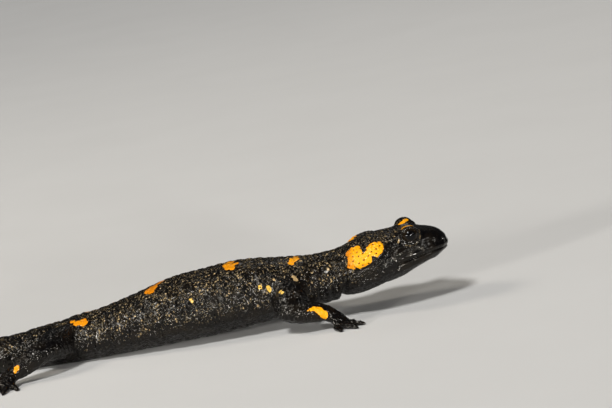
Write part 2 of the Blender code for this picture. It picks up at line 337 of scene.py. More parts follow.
def remeshed(mesh):
    """The outer surface of overlapping solids, as one mesh of small even faces."""
    carrier = placed("carrier", mesh)
    modifier = carrier.modifiers.new("remesh", "REMESH")
    modifier.mode = "VOXEL"
    modifier.voxel_size = VOXEL * MM
    bpy.context.view_layer.update()
    graph = bpy.context.evaluated_depsgraph_get()
    made = bpy.data.meshes.new_from_object(carrier.evaluated_get(graph))
    bpy.data.objects.remove(carrier)
    bpy.data.meshes.remove(mesh)
    return made


def finer_head(mesh):
    """Splits the faces of the head in four."""
    shape = bmesh.new()
    shape.from_mesh(mesh)
    points = np.array([v.co for v in shape.verts]) / MM
    in_head = along_body(points)[0] < HEAD_END
    edges = [e for e in shape.edges if in_head[e.verts[0].index] and in_head[e.verts[1].index]]
    bmesh.ops.subdivide_edges(shape, edges=edges, cuts=1, use_grid_fill=True)
    shape.to_mesh(mesh)
    shape.free()
    return mesh


def nearest_nodes(points):
    """The index in FLESH of the solid that lies nearest to each point."""
    corners, faces, owners = [], [], []
    for index, name in enumerate(FLESH):
        mesh = NODES[name].data
        first = len(corners)
        corners += [v.co / MM for v in mesh.vertices]
        faces += [[first + v for v in p.vertices] for p in mesh.polygons]
        owners += [index] * len(mesh.polygons)
    tree = BVHTree.FromPolygons(corners, faces)
    return np.array([owners[tree.find_nearest(p)[2]] for p in points.tolist()])


def plain_skin():
    """The smooth skin before any carving, and the fields that say where on the body each point is."""
    skin = Skin(finer_head(remeshed(joined_flesh())))
    skin.owner = nearest_nodes(skin.points)
    limb = np.array([any(word in name for word in LIMB_WORDS) for name in FLESH])
    skin.limb = skin.soften(limb[skin.owner].astype(float), LIMB_SPREAD)
    skin.fair(FAIRING)
    joins = np.clip(4 * skin.soften(skin.limb * (1 - skin.limb), JOIN_SPREAD), 0, 1)
    skin.ease(joins, JOIN_EASING)
    skin.eye_far = np.min([distance(skin.points, node_centre(name)) for name in EYES], 0)
    skin.points -= skin.normals() * GROWTH
    skin.at, skin.side = along_body(skin.points)
    skin.turn = body_turn(skin)
    return skin


def body_turn(skin):
    """The angle of each point round the body: 0 at the side, 90 on the back, -90 on the belly."""
    stations = np.arange(0.0, TOTAL_LENGTH + 1, SLICE_STEP)
    rows = []
    off_limbs = skin.limb < 0.05
    for station in stations:
        near = off_limbs & (np.abs(skin.at - station) < SLICE_HALF)
        if near.any():
            level = skin.points[near, 2]
            rows.append((np.abs(skin.side[near]).max(), level.min(), level.max()))
        else:
            rows.append(rows[-1])
    half, under, back = (np.interp(skin.at, stations, [row[c] for row in rows]) for c in range(3))
    middle = under + MID_LEVEL * (back - under)
    up = (skin.points[:, 2] - middle) / ((back - under) / 2)
    return np.degrees(np.arctan2(up, np.abs(skin.side) / half))


# ---- The head ----

EYE_RADIUS = 1.98
EYE_TILT = (0.10, 0.12)  # how far an eye looks forwards and up, as shares of how far it looks outwards
LID_DOME = 2.17  # the upper lids lie over the eyes at this radius
LID_TAIL = {"right_eye": 0.34, "left_eye": 0.10}  # how far each upper lid stands out at its rear end
LID_TAIL_TURN, LID_TAIL_WIDTH = 139, 17  # where that is round the eye
LID_EASING = 320  # smoothing steps for the foot of each lid
UPPER_LID, LOWER_LID = 1.50, -1.42  # the lids' edges over the middle of the eye, above and below its centre
UPPER_ARCH, LOWER_ARCH = -0.20, 0.24  # how the edges curve towards the corners, per square millimetre
OPENING_REACH = 1.86  # from the middle of the eye to the corners of its opening
UPPER_THICKNESS, LOWER_THICKNESS = 0.18, 0.15
SUNK = 0.17  # the skin inside the opening lies this far under the eye's surface
# Folds round each eye, as rises with their distance from its middle and their width.
LOWER_FOLDS = ((0.24, 2.34, 0.19), (-0.12, 2.04, 0.12), (-0.14, 2.78, 0.20))
OUTER_FOLD = ((0.10, 3.25, 0.20),)
REAR_CREASE = ((0.12, 2.75, 0.30), (-0.15, 2.45, 0.15))


class EyeView:
    """One eye: its centre and directions, and where the skin's points lie from it."""

    def __init__(self, name):
        heading = math.radians(between(HEADINGS, EYE_STATION))
        ahead = np.array((math.cos(heading), math.sin(heading), 0.0))
        left = np.array((-ahead[1], ahead[0], 0.0))
        self.side = -1 if name.startswith("right") else 1
        outward = self.side * left + EYE_TILT[0] * ahead + EYE_TILT[1] * np.array((0, 0, 1.0))
        self.outward = outward / np.linalg.norm(outward)
        ahead = ahead - self.outward * (ahead @ self.outward)
        self.ahead = ahead / np.linalg.norm(ahead)
        self.up = -self.side * np.cross(self.outward, self.ahead)
        self.centre = node_centre(name)

    def push(self, skin, moved):
        """Moves the skin's points straight away from the eye."""
        rel = skin.points - self.centre
        skin.points = skin.points + (moved / self.seen(skin.points)[3])[:, None] * rel

    def seen(self, points):
        """Each point's distance outwards, forwards and up from the eye's centre, its distance in all, and
        its angle round the eye: 0 in front, 90 at the top and -90 below."""
        rel = points - self.centre
        out, fore, high = rel @ self.outward, rel @ self.ahead, rel @ self.up
        far = np.sqrt(out ** 2 + fore ** 2 + high ** 2)
        return out, fore, high, far, np.degrees(np.arctan2(high, fore))

    def at(self, out, fore, high):
        return self.centre + out * self.outward + fore * self.ahead + high * self.up


def settle_lids(skin):
    """Draws each upper lid in over its eye, all but a small fold at its rear end, and eases its foot."""
    for name in EYES:
        eye = EyeView(name)
        out, _, high, far, turn = eye.seen(skin.points)
        tail = LID_TAIL[name] * bump(turn - LID_TAIL_TURN, LID_TAIL_WIDTH)
        radius = LID_DOME + tail * fade(out, -1.4, -0.4)
        here = fade(high / far, 0.22, 0.50) * fade(out, -2.3, -1.0) * fade(far, 4.4, 3.1)
        moved = (radius - far) * here
        moved = np.where(far < radius, moved * (turn > 105), moved)
        eye.push(skin, moved)
        _, _, high, far, _ = eye.seen(skin.points)
        skin.ease(window(far, 2.2, 2.6, 4.0, 5.4) * fade(high, -1.2, 0.3), LID_EASING)


def open_lids(skin):
    """Lays the lids tightly over each eye, sinks the skin inside their opening, and folds it below."""
    for name in EYES:
        eye = EyeView(name)
        out, fore, high, far, turn = eye.seen(skin.points)
        ring = np.hypot(fore, high)
        upper_edge = UPPER_LID + UPPER_ARCH * (fore + 0.15) ** 2
        lower_edge = LOWER_LID + LOWER_ARCH * (fore - 0.1) ** 2
        opening = np.minimum.reduce((upper_edge - high, high - lower_edge, OPENING_REACH - ring))
        upper = fade(high, -0.3, 0.7)
        thick = LOWER_THICKNESS + (UPPER_THICKNESS - LOWER_THICKNESS) * upper
        rolled = 0.06 * bump(opening + 0.20, 0.14)
        snug = fade(ring, 2.7, 2.1) * fade(out, -0.3, 0.4)
        goal = far + snug * np.maximum(EYE_RADIUS + thick - far, 0) + rolled * snug
        folds = bumps(ring, LOWER_FOLDS) + bumps(ring, OUTER_FOLD) * fade(turn, -20, -60)
        goal += folds * window(turn, -178, -140, 10, 45) * fade(out, -1.2, 0.0)
        goal += bumps(ring, REAR_CREASE) * fade(turn, 100, 130) * fade(out, -1.0, 0.0) * (high > 0)
        sunk = fade(opening, -0.05, 0.08)
        goal = goal * (1 - sunk) + (EYE_RADIUS - SUNK) * sunk
        here = fade(out, -1.4, -0.6) * fade(far, 5.0, 4.0)
        eye.push(skin, (goal - far) * here)


GLAND = (18.7, 37.0, 5.4, 27.0)  # the parotoid gland: its place and half sizes, along the head and in turn
GLAND_RISE, GLAND_FURROW = 0.42, 0.18  # its height, and the depth of the furrow round it


def gland_field(skin):
    """1 at the middle of a gland, 0 at its edge and negative outside."""
    at, turn, long, high = GLAND
    wavy = 0.16 * noise_at(skin.points, 2.6, 1.3)
    return 1 - np.hypot((skin.at - at) / long, (skin.turn - turn) / high) + wavy


def gland_form(skin):
    field = gland_field(skin)
    return GLAND_RISE * fade(field, -0.04, 0.3) - GLAND_FURROW * bump(field + 0.10, 0.09)


CORNER_OF_MOUTH = 11.6
MOUTH_LIFT = 0.15
# Rises with their height above the mouth's line and their width: a lip, and a lip with the groove over it.
UPPER_LIP = ((0.20, 0.70, 0.50),)
LOWER_LIP = ((0.22, -0.52, 0.34), (-0.32, 0.0, 0.15))
# Swellings of the jaw's muscle and the cheek, and the hollow between them: rise, place and reach along the
# head, height above the mouth's line and reach up and down.
JAW_SWELLINGS = ((0.35, 15.0, 2.6, 0.2, 2.2), (0.32, 11.2, 1.2, 2.2, 0.9), (-0.22, 13.2, 0.8, 2.2, 1.4))
NOSTRIL = (1.7, 2.9, 13.2)  # behind the snout tip, to the side and up
NOSTRIL_RINGS = ((0.09, 0.5, 0.22), (-0.42, 0.0, 0.27))


def mouth_line(skin):
    """How far each point is above the mouth's line."""
    at = np.clip(skin.at, MOUTH[0][0], MOUTH[-1][0])
    return skin.points[:, 2] - np.interp(at, *zip(*MOUTH)) - MOUTH_LIFT


def mouth_form(skin):
    """The mouth's line with its two lips, and the fold behind its corner."""
    up = mouth_line(skin)
    here = fade(skin.at, 12.2, 10.6)
    back = skin.at - CORNER_OF_MOUTH
    corner = bump(up + 0.75 * np.clip(back, 0, 3), 0.3) * window(back, -0.6, 0.2, 0.6, 2.4)
    tip = 1 - 0.6 * fade(skin.at, 2.5, 0.3)
    lips = bumps(up, UPPER_LIP) + tip * bumps(up, LOWER_LIP)
    return (here * lips - 0.2 * corner) * fade(skin.at, 24, 20) * (1 - skin.limb)


def jaw_form(skin):
    """A fuller chin, and a soft hollow along the cheek between the mouth and the jaw's muscle."""
    up = mouth_line(skin)
    out = 0.45 * window(skin.at, 0.5, 4.0, 10.5, 15.5) * fade(up, -0.4, -1.3)
    for rise, at, long, middle, high in JAW_SWELLINGS:
        out += rise * bump(skin.at - at, long) * bump(up - middle, high)
    return out * (1 - skin.limb)


def snout_form(skin):
    """The nostrils, the ridge from each to its eye, and the dip under the ridge."""
    above = skin.points[:, 2] - 14.6 - 0.13 * skin.at
    out = 0.16 * bump(above, 0.8) * window(skin.at, 1.5, 3.5, 5.5, 7.5)
    out -= 0.16 * bump(above + 1.5, 0.7) * window(skin.at, 2.0, 4.0, 5.5, 7.5)
    at, apart, up = NOSTRIL
    for side in (-1, 1):
        place = skin.spot(at, side * apart, up)
        out += bumps(distance(skin.points, place), NOSTRIL_RINGS)
    return out


def cheek_field(skin):
    """1 over the smoother skin of the cheeks, between the eyes and the corner of the mouth."""
    return window(skin.turn, -60, -35, 18, 34) * window(skin.at, 7.0, 9.0, 13.8, 16.0)


def soft_waves(skin):
    """The low waves of the smooth skin over the snout's sides and the cheeks."""
    sides = window(skin.turn, -75, -40, 45, 75) * window(skin.at, 0.5, 2.5, 13, 17)
    height = 0.11 + 0.05 * cheek_field(skin)
    return height * noise_at(skin.points, (1.7, 1.7, 1.2), 2.4) * sides


CHEEK_FOLDS = (  # corners as distance behind the snout tip, to the side and up, then depth and width
    (((11.0, 5.8, 15.6), (12.6, 5.9, 15.6), (13.8, 6.2, 15.3)), 0.20, 0.22),
    (((11.0, 6.6, 14.3), (12.2, 7.0, 13.6), (12.8, 7.5, 12.6)), 0.14, 0.20),
    (((13.6, 7.2, 14.4), (14.6, 7.9, 13.2), (16.2, 8.4, 12.2)), 0.20, 0.25),
)


def cheek_folds(skin):
    """Short creases behind the eye and a furrow from it to the gland."""
    out = 0.0
    for corners, depth, width in CHEEK_FOLDS:
        for side in (-1, 1):
            line = [skin.spot(at, side * apart, up) for at, apart, up in corners]
            away = near_line(skin.points, line)
            out += depth * (0.4 * bump(away - 2 * width, 1.3 * width) - bump(away, width))
    return out


# ---- Folds and grain of the body ----

RIB_GROOVE, TAIL_GROOVE = (0.26, 0.42), (0.16, 0.36)  # depth and width
BACK_RISES = ((0.62, 46.5, 7.0), (0.5, 61.0, 7.5))  # rise, place along the spine and reach


def rib_grooves(skin):
    """One groove for each rib: sharper than in the solids, leaning back a little towards the belly."""
    lean = skin.at + 0.012 * skin.turn + 0.35 * noise_at(skin.points, 6.0, 3.1)
    reach = window(skin.at, RIB_START + 2, RIB_START + 8, RIB_END - 6, RIB_END)
    depth, width = RIB_GROOVE
    groove = bump(off_step(lean, RIB_START, RIB_PITCH), width)
    return -depth * groove * reach * window(skin.turn, -85, -50, 40, 62)


def back_rise(skin):
    """The back's highest part, behind the shoulders, and the slope that comes down from it."""
    return bumps(skin.at, BACK_RISES) * fade(skin.turn, 35, 75)


def tail_grooves(skin):
    """The tail's rings, as fine grooves on its sides."""
    reach = window(skin.at, TAIL_START, TAIL_START + 5, 150, 172)
    depth, width = TAIL_GROOVE
    groove = bump(off_step(skin.at, TAIL_START, TAIL_RING_PITCH), width)
    return -depth * groove * reach * fade(np.abs(skin.turn), 80, 50)


NECK_FOLDS = (  # distance behind the snout tip, depth, width, lowest and highest turn
    (24.0, 0.50, 0.50, -90, 32),
    (26.6, 0.30, 0.38, -60, 55),
    (29.3, 0.34, 0.42, -70, 40),
    (31.8, 0.22, 0.40, -20, 60),
)


def neck_folds(skin):
    """Loose folds across the throat and the sides of the neck."""
    out = 0.0
    wander = 0.7 * noise_at(skin.points, (9.0, 5.0, 4.0), 7.7)
    for at, depth, width, low, high in NECK_FOLDS:
        place = skin.at - at + wander + 0.015 * skin.turn
        across = window(skin.turn, low - 12, low + 8, high - 8, high + 12)
        out += across * depth * (0.5 * bump(place - 2.2 * width, 1.6 * width) - bump(place, width))
    return out * (1 - skin.limb)


# The muscle over each limb's root: how far ahead of the upper limb's middle, how far to the side and how
# high it lies, with its radius and its rise.
SHOULDER = (1.9, 8.4, 8.2, 4.1, 1.25)
HIP = (-0.5, 6.8, 6.6, 3.0, 0.45)
DIGIT_CREASES, LIMB_CREASES = (0.05, 1.15), (0.07, 0.9)  # depth and pitch


def limb_axes():
    """For each limb piece, the place of its middle and which way it runs towards the digits."""
    axes = {}
    for chain in LIMB_CHAINS:
        middles = [node_centre(name) for name in chain]
        for k, name in enumerate(chain):
            low, high = max(k - 1, 0), min(k + 1, 2)
            way = middles[high] - middles[low]
            axes[name] = (middles[k], way / np.linalg.norm(way))
    return axes


def limb_roots(skin):
    """The muscles of the shoulders and hips, which carry each limb's top into the flank."""
    out = 0.0
    for chain in LIMB_CHAINS:
        (at,), (side,) = along_body(node_centre(chain[0])[None, :])
        ahead, apart, up, radius, rise = SHOULDER if "arm" in chain[0] else HIP
        place = on_body(at - ahead, math.copysign(apart, side), up)
        out += rise * bump(distance(skin.points, place), radius)
    return out


def ripple(value, pitch):
    """Even waves between 0 and 1."""
    return 0.5 + 0.5 * np.cos(2 * math.pi * value / pitch)


def limb_creases(skin):
    """Fine skin folds across each limb, and creases across the digits."""
    out = np.zeros(len(skin.at))
    for name, (middle, way) in limb_axes().items():
        mine = skin.owner == FLESH.index(name)
        local = skin.points[mine]
        if name.endswith(("hand", "foot")):
            depth, pitch = DIGIT_CREASES
            reach = distance(local[:, :2], middle[:2])
            out[mine] = -depth * ripple(reach, pitch) * fade(reach, 1.8, 2.6)
        else:
            depth, pitch = LIMB_CREASES
            along = (local - middle) @ way + 0.5 * noise_at(local, 2.2, 5.5)
            out[mine] = -depth * ripple(along, pitch) ** 2
    return skin.soften(out, 1) * skin.limb


def wrinkles(skin):
    """Fine folds that run round the body and lean forwards towards the belly, on flanks and neck."""
    up = skin.points[:, 2]
    stretched = np.stack((skin.at - 0.45 * up, skin.side * 0.25, up * 0.3), 1)
    fine, coarse = noise_at(stretched, 0.62, 11.0), noise_at(stretched, 1.5, 21.0)
    flank = window(skin.turn, -80, -45, 50, 85) * fade(skin.at, 19, 26)
    return (0.085 * fine + 0.10 * coarse) * flank * (1 - 0.6 * skin.limb)


GRAIN_SIZE, GRAIN_DEPTH = 0.95, 0.075


def grains(skin):
    """Flat grains with furrows between them, faint on the cheeks and missing on the snout."""
    tops = fade(cells_at(skin.points, GRAIN_SIZE, 2.0), 0.0, 0.35)
    return GRAIN_DEPTH * (tops - 1) * fade(skin.at, 8.0, 14.0) * (1 - 0.7 * cheek_field(skin))


# The poison glands of the back: where their rows begin and end, their pitch, and how far apart they are.
GLANDS_FROM, GLANDS_TO, GLAND_PITCH, GLANDS_APART = 27.0, 160.0, 2.1, 1.75
BACK_GLAND = ((0.13, 0.5, 0.3), (-0.14, 0.0, 0.2))  # a ring and a pore: rise, place and width
WARTS, WART_PITCH, WART_RISE, WART_WIDTH = 28, 2.05, 0.17, 0.62


def back_glands():
    """Places of the poison glands in two rows along the back: distance along the spine, and to the side."""
    places = []
    at = GLANDS_FROM
    k = 0
    while at < GLANDS_TO:
        apart = GLANDS_APART - max(at - TAIL_START, 0) / (GLANDS_TO - TAIL_START)
        for side in (-1, 1):
            shake = math.sin(12.9898 * k + 78.2 * side)
            places.append((at + 0.5 * shake, side * apart + 0.25 * math.sin(37.7 * k + side)))
        at += GLAND_PITCH
        k += 1
    return places


def distance_in(places, table):
    """The distance from each place to the nearest point of a table."""
    tree = tree_of(table)
    return np.array([tree.find(p)[2] for p in places.tolist()])


def back_gland_form(skin):
    """Each gland of the back is a low ring round a pore."""
    flat = np.stack((skin.at, skin.side, np.zeros(len(skin.at))), 1)
    away = distance_in(flat, [(at, side, 0.0) for at, side in back_glands()])
    away[skin.turn < 20] = 9.0
    return bumps(away, BACK_GLAND) * (1 - skin.limb)


def flank_warts(skin):
    """A row of low warts along each flank, about two between neighbouring ribs."""
    flat = np.stack((skin.at, np.radians(skin.turn) * 8, np.sign(skin.side) * 30), 1)
    places = []
    for side in (-30, 30):
        for k in range(WARTS):
            at = RIB_START + 2 + WART_PITCH * k
            turn = 20 + 7 * math.sin(9.1 * k + side)
            places.append((at + 0.3 * math.sin(5.3 * k), math.radians(turn) * 8, side))
    away = distance_in(flat, places)
    return WART_RISE * bump(away, WART_WIDTH) * (1 - skin.limb)


PORE_ROOM = 1.05  # the least distance between the gland's pores
PORE = ((0.05, 0.45, 0.2), (-0.2, 0.0, 0.22))  # its rim and its hole: rise, place and width
SPOT_PORES = ((42.05, -8.25, 10.95), (40.2, -8.15, 10.25), (37.6, -10.4, 9.15))  # in the small flank spots


def gland_pores(skin):
    """Evenly scattered pores over both parotoid glands, placed in turn wherever there is room."""
    inside = np.flatnonzero(gland_field(skin) > 0.10)
    order = np.random.default_rng(4).permutation(inside)
    kept = []
    for k in order:
        point = skin.points[k]
        if not kept or distance(np.array(kept), point).min() > PORE_ROOM:
            kept.append(point)
    return kept


def gland_pore_form(skin):
    spots = [skin.spot(*place) for place in SPOT_PORES]
    skin.pore = distance_in(skin.points, np.array([*gland_pores(skin), *spots]))
    return bumps(skin.pore, PORE)


def carve(skin):
    """Lids first, then broad forms and folds, then the fine relief, each along fresh normals."""
    skin.index_points()
    settle_lids(skin)
    steps = (
        (gland_form, jaw_form, soft_waves, mouth_form, snout_form, cheek_folds, neck_folds, limb_roots,
         back_rise, rib_grooves, tail_grooves),
        (wrinkles, limb_creases, back_gland_form, flank_warts, gland_pore_form, grains),
    )
    away = fade(skin.eye_far, 2.9, 4.2)
    uneven = 0.14 * noise_at(skin.points, 7.0, 0.4)
    for forms in steps:
        out = sum(form(skin) for form in forms) + uneven
        out *= fade(skin.points[:, 2], 0.0, 0.8) * away
        skin.points = skin.points + skin.normals() * out[:, None]
        uneven = 0.0
    open_lids(skin)
    skin.points[:, 2] = np.maximum(skin.points[:, 2], 0.0)


# ---- Markings ----

# Outline of the marking on each parotoid gland: distance behind the snout tip, and height up its slope.
GLAND_MARKS = {
    -1: ((22.7, 4.9), (21.4, 5.7), (19.8, 5.2), (19.5, 4.3), (19.0, 2.5), (18.35, 3.5), (17.6, 4.3),
         (16.5, 4.65), (15.2, 4.75), (14.7, 3.9), (14.9, 2.4), (15.8, 1.6), (16.7, 1.2), (17.9, 1.65),
         (17.5, 0.8), (17.8, 0.2), (18.8, 0.0), (20.6, -0.3), (21.1, 0.25), (21.6, 0.0), (23.1, 0.9),
         (22.5, 2.8), (22.95, 4.3)),
    1: ((23.0, 4.0), (21.5, 5.5), (19.4, 5.6), (18.4, 4.6), (16.6, 5.0), (15.0, 4.4), (15.2, 2.6),
        (16.6, 1.9), (17.2, 0.7), (19.0, 0.2), (21.0, -0.2), (22.6, 1.2), (22.0, 2.6)),
}
GLAND_FOOT = (8.3, 11.5)  # the foot of the gland's slope: to the side, and up
GLAND_SLOPE = (0.635, 0.77)  # the slope's direction, inwards and up

# Yellow spots, each with how orange it is, from -1 for pale yellow to 1, and its round lobes: distance
# behind the snout tip, to the left, up, and radius. Each lobe moves to the nearest point of the skin.
SPOTS = (
    # the back, on the right
    (0.3, ((34.7, -3.3, 14.2, 0.75), (34.1, -2.6, 14.4, 0.95), (33.9, -1.4, 14.6, 0.95),
           (33.6, -0.2, 14.7, 0.75), (33.4, -1.9, 14.5, 0.65))),
    (0.45, ((48.5, -3.4, 15.2, 0.7), (47.5, -3.6, 15.2, 0.75), (48.6, -2.2, 15.5, 1.05),
            (47.5, -2.3, 15.5, 1.0), (48.6, -0.8, 15.7, 1.1), (47.9, 0.4, 15.8, 0.95),
            (46.6, -2.0, 15.7, 0.5), (46.1, -1.6, 15.8, 0.35))),
    (1.0, ((66.6, -2.8, 12.7, 0.85), (65.7, -3.5, 12.7, 0.85), (66.1, -1.8, 12.9, 1.1),
           (65.2, -2.2, 13.0, 1.0), (65.3, -0.6, 13.2, 1.1), (64.5, 0.5, 13.3, 0.85),
           (63.6, 1.5, 13.3, 0.55))),
    # small ones on the right flank and shoulder
    (-1.0, ((42.1, -8.2, 11.2, 0.42), (42.0, -8.3, 10.7, 0.42))),
    (-1.0, ((40.4, -8.1, 10.5, 0.52), (40.0, -8.2, 10.0, 0.58))),
    (-1.0, ((37.7, -10.2, 9.4, 0.46), (37.5, -10.6, 8.9, 0.42))),
    (-1.0, ((57.0, -8.7, 10.9, 0.3), (56.9, -8.8, 10.3, 0.36))),
    # the right foreleg's curved band
    (0.1, ((32.8, -14.2, 5.5, 0.26), (32.2, -14.1, 5.6, 0.42), (31.5, -14.0, 5.5, 0.6),
           (30.9, -13.9, 5.1, 0.78), (30.4, -13.8, 4.6, 0.85), (30.0, -13.8, 4.0, 0.85),
           (29.7, -13.7, 3.4, 0.7))),
    # the rear of the back and the tail, on the right
    (0.6, ((81.6, -5.0, 9.8, 0.8), (82.2, -4.2, 10.1, 1.1), (83.3, -4.1, 10.0, 0.9),
           (84.2, -3.4, 10.1, 0.65))),
    (0.5, ((102.8, -2.9, 7.6, 0.9), (103.7, -2.0, 8.0, 1.1), (105.0, -2.5, 7.7, 0.9),
           (105.9, -1.8, 7.9, 0.6))),
    (0.6, ((113.6, -2.6, 6.9, 0.9), (114.4, -1.8, 7.3, 1.1), (114.9, -0.9, 7.4, 0.8),
           (115.9, -1.5, 7.2, 0.6))),
    (0.5, ((130.8, -2.2, 6.1, 0.9), (131.9, -1.6, 6.4, 0.9), (132.4, -0.8, 6.5, 0.6))),
    (0.6, ((148.8, -1.6, 5.2, 0.8), (149.8, -1.0, 5.4, 0.7), (151.0, -1.0, 5.3, 0.45))),
    # the back on the left
    (0.4, ((28.4, 3.2, 14.3, 0.9), (29.5, 4.1, 13.9, 1.15), (30.8, 3.7, 14.1, 1.0),
           (31.2, 2.6, 14.5, 0.7))),
    (0.5, ((40.3, 4.8, 14.0, 1.1), (41.6, 5.6, 13.5, 1.1), (41.9, 4.3, 14.4, 0.9), (42.9, 6.3, 13.0, 0.6))),
    (0.6, ((54.0, 4.8, 13.9, 1.0), (55.1, 4.0, 14.3, 1.3), (56.4, 4.9, 13.8, 1.25), (57.8, 4.3, 13.7, 0.9),
           (58.5, 3.4, 14.0, 0.6))),
    (0.5, ((72.4, 4.9, 11.0, 0.8), (73.2, 4.2, 11.3, 1.1), (74.3, 4.1, 11.2, 0.8), (74.9, 3.0, 11.4, 0.7))),
    (0.6, ((89.6, 2.9, 8.7, 0.9), (90.7, 3.6, 8.4, 1.1), (92.0, 3.3, 8.4, 0.8), (92.5, 4.2, 8.0, 0.6))),
    (0.5, ((104.6, 2.7, 7.4, 1.0), (105.6, 1.9, 7.7, 1.15), (106.9, 2.5, 7.3, 0.9),
           (107.5, 1.4, 7.6, 0.6))),
    (0.6, ((121.7, 2.3, 6.7, 0.9), (122.7, 1.6, 7.0, 1.0), (124.0, 1.8, 6.8, 0.7))),
    (0.5, ((139.7, 1.9, 5.7, 0.8), (140.6, 1.4, 5.9, 0.8), (141.5, 2.0, 5.6, 0.5))),
    (0.6, ((157.7, 1.4, 4.5, 0.6), (158.5, 0.9, 4.7, 0.5))),
    (0.6, ((168.0, 0.8, 3.6, 0.55),)),
    # small ones on the left flank
    (0.0, ((47.0, 9.0, 10.0, 0.55), (46.6, 9.0, 9.4, 0.45))),
    (0.0, ((62.5, 9.0, 9.2, 0.6), (63.2, 9.0, 8.8, 0.4))),
    (0.0, ((35.6, 8.0, 9.6, 0.45),)),
    # the limb roots and the other limbs
    (0.4, ((35.4, 9.1, 10.6, 0.9), (34.9, 10.1, 10.1, 1.1), (34.2, 11.1, 9.6, 0.8))),
    (0.4, ((41.2, 13.2, 6.5, 0.7), (40.6, 14.0, 5.9, 0.9), (39.6, 14.7, 5.4, 0.75))),
    (0.5, ((84.4, 8.2, 8.5, 0.9), (83.5, 9.1, 8.4, 1.15), (82.5, 10.0, 8.1, 0.9), (82.2, 8.7, 8.6, 0.6))),
    (0.4, ((81.4, 14.6, 5.6, 0.85), (81.0, 15.3, 5.2, 0.5))),
    (0.5, ((96.9, -16.2, 4.0, 0.62), (97.3, -16.2, 3.4, 0.45))),
)
# The yellow line along the right upper lid, as (outwards, forwards, up) from the eye's middle.
LID_LINE = ((0.5, -1.75, 1.84), (0.52, -1.4, 1.95), (0.55, -0.8, 2.08), (0.6, -0.2, 2.12), (0.6, 0.4, 2.12),
            (0.55, 1.0, 1.98))
LID_LINE_WIDTH, LID_LINE_TONE = 0.19, -0.45
# The spot on the left upper lid, as lobes: outwards, forwards, up and radius.
FAR_LID_LOBES = ((-2.4, -0.85, 1.5, 0.34), (-2.3, -0.5, 1.7, 0.46), (-2.2, -0.1, 1.88, 0.52),
                 (-1.5, 0.35, 1.9, 0.5), (-1.2, 0.7, 1.85, 0.44), (-0.9, 0.95, 1.8, 0.34))
# Pale brown flecks, as such lobes: on the right shoulder, behind the right eye, on the crown; the two on
# the neck are a painted highlight on its fold.
FLECKS_AND_HIGHLIGHTS = ((34.7, -7.1, 11.5, 0.5), (34.5, -7.3, 10.9, 0.6), (39.0, -7.5, 11.8, 0.42),
          (11.0, -6.3, 15.2, 0.2), (11.2, -6.4, 14.8, 0.24), (11.9, -5.2, 16.1, 0.22),
          (11.2, -3.4, 17.0, 0.3), (27.2, -6.6, 12.2, 0.35), (26.4, -6.2, 13.2, 0.3))
LID_RING, LID_RING_FROM, LID_RING_TO = 2.36, -125.0, 20.0  # the edge of the fold below each eye, where a faint pale line is painted as a highlight
RAGGED = 0.28  # how far the edges of spots and flecks wander


def lid_ring_highlight(skin):
    """How near each point is to the edge of the fold below its eye, for a painted highlight along it: at
    most 0, so that it takes only a trace.
    """
    turns = np.radians(np.linspace(LID_RING_FROM, LID_RING_TO, 13))
    away = 9.0
    for name in EYES:
        eye = EyeView(name)
        out, fore, high, _, _ = eye.seen(skin.points)
        places = np.stack((fore, high), 1)
        ring = [(LID_RING * math.cos(turn), LID_RING * math.sin(turn)) for turn in turns]
        away = np.minimum(away, np.where(out > -0.5, near_line(places, ring), 9.0))
    return np.minimum(0.12 - away, 0.0)


def gland_mark_field(skin, side):
    """How far inside the marking of one gland each point is."""
    inward = GLAND_FOOT[0] - side * skin.side
    height = GLAND_SLOPE[0] * inward + GLAND_SLOPE[1] * (skin.points[:, 2] - GLAND_FOOT[1])
    near = (np.abs(skin.at - 19) < 7) & (side * skin.side > 0.5) & (height > -3)
    out = np.full(len(skin.at), -9.0)
    out[near] = within(np.stack((skin.at, height), 1)[near], GLAND_MARKS[side])
    return out


def lobe_field(places, lobes):
    """How far inside the nearest of several round lobes each place is, negative outside."""
    out = np.full(len(places), -9.0)
    for centre, radius in lobes:
        out = np.maximum(out, radius - distance(places, centre))
    return out


def body_lobes(skin, lobes):
    return [(skin.spot(at, side, up), radius) for at, side, up, radius in lobes]


def lid_marks(skin):
    """A yellow line along the edge of the right upper lid, and a broader spot on top of the left one."""
    right, left = EyeView("right_eye"), EyeView("left_eye")
    line = [skin.closest(right.at(*corner)) for corner in LID_LINE]
    spot = [(skin.closest(left.at(*lobe[:3])), lobe[3]) for lobe in FAR_LID_LOBES]
    return np.maximum(LID_LINE_WIDTH - near_line(skin.points, line), lobe_field(skin.points, spot))


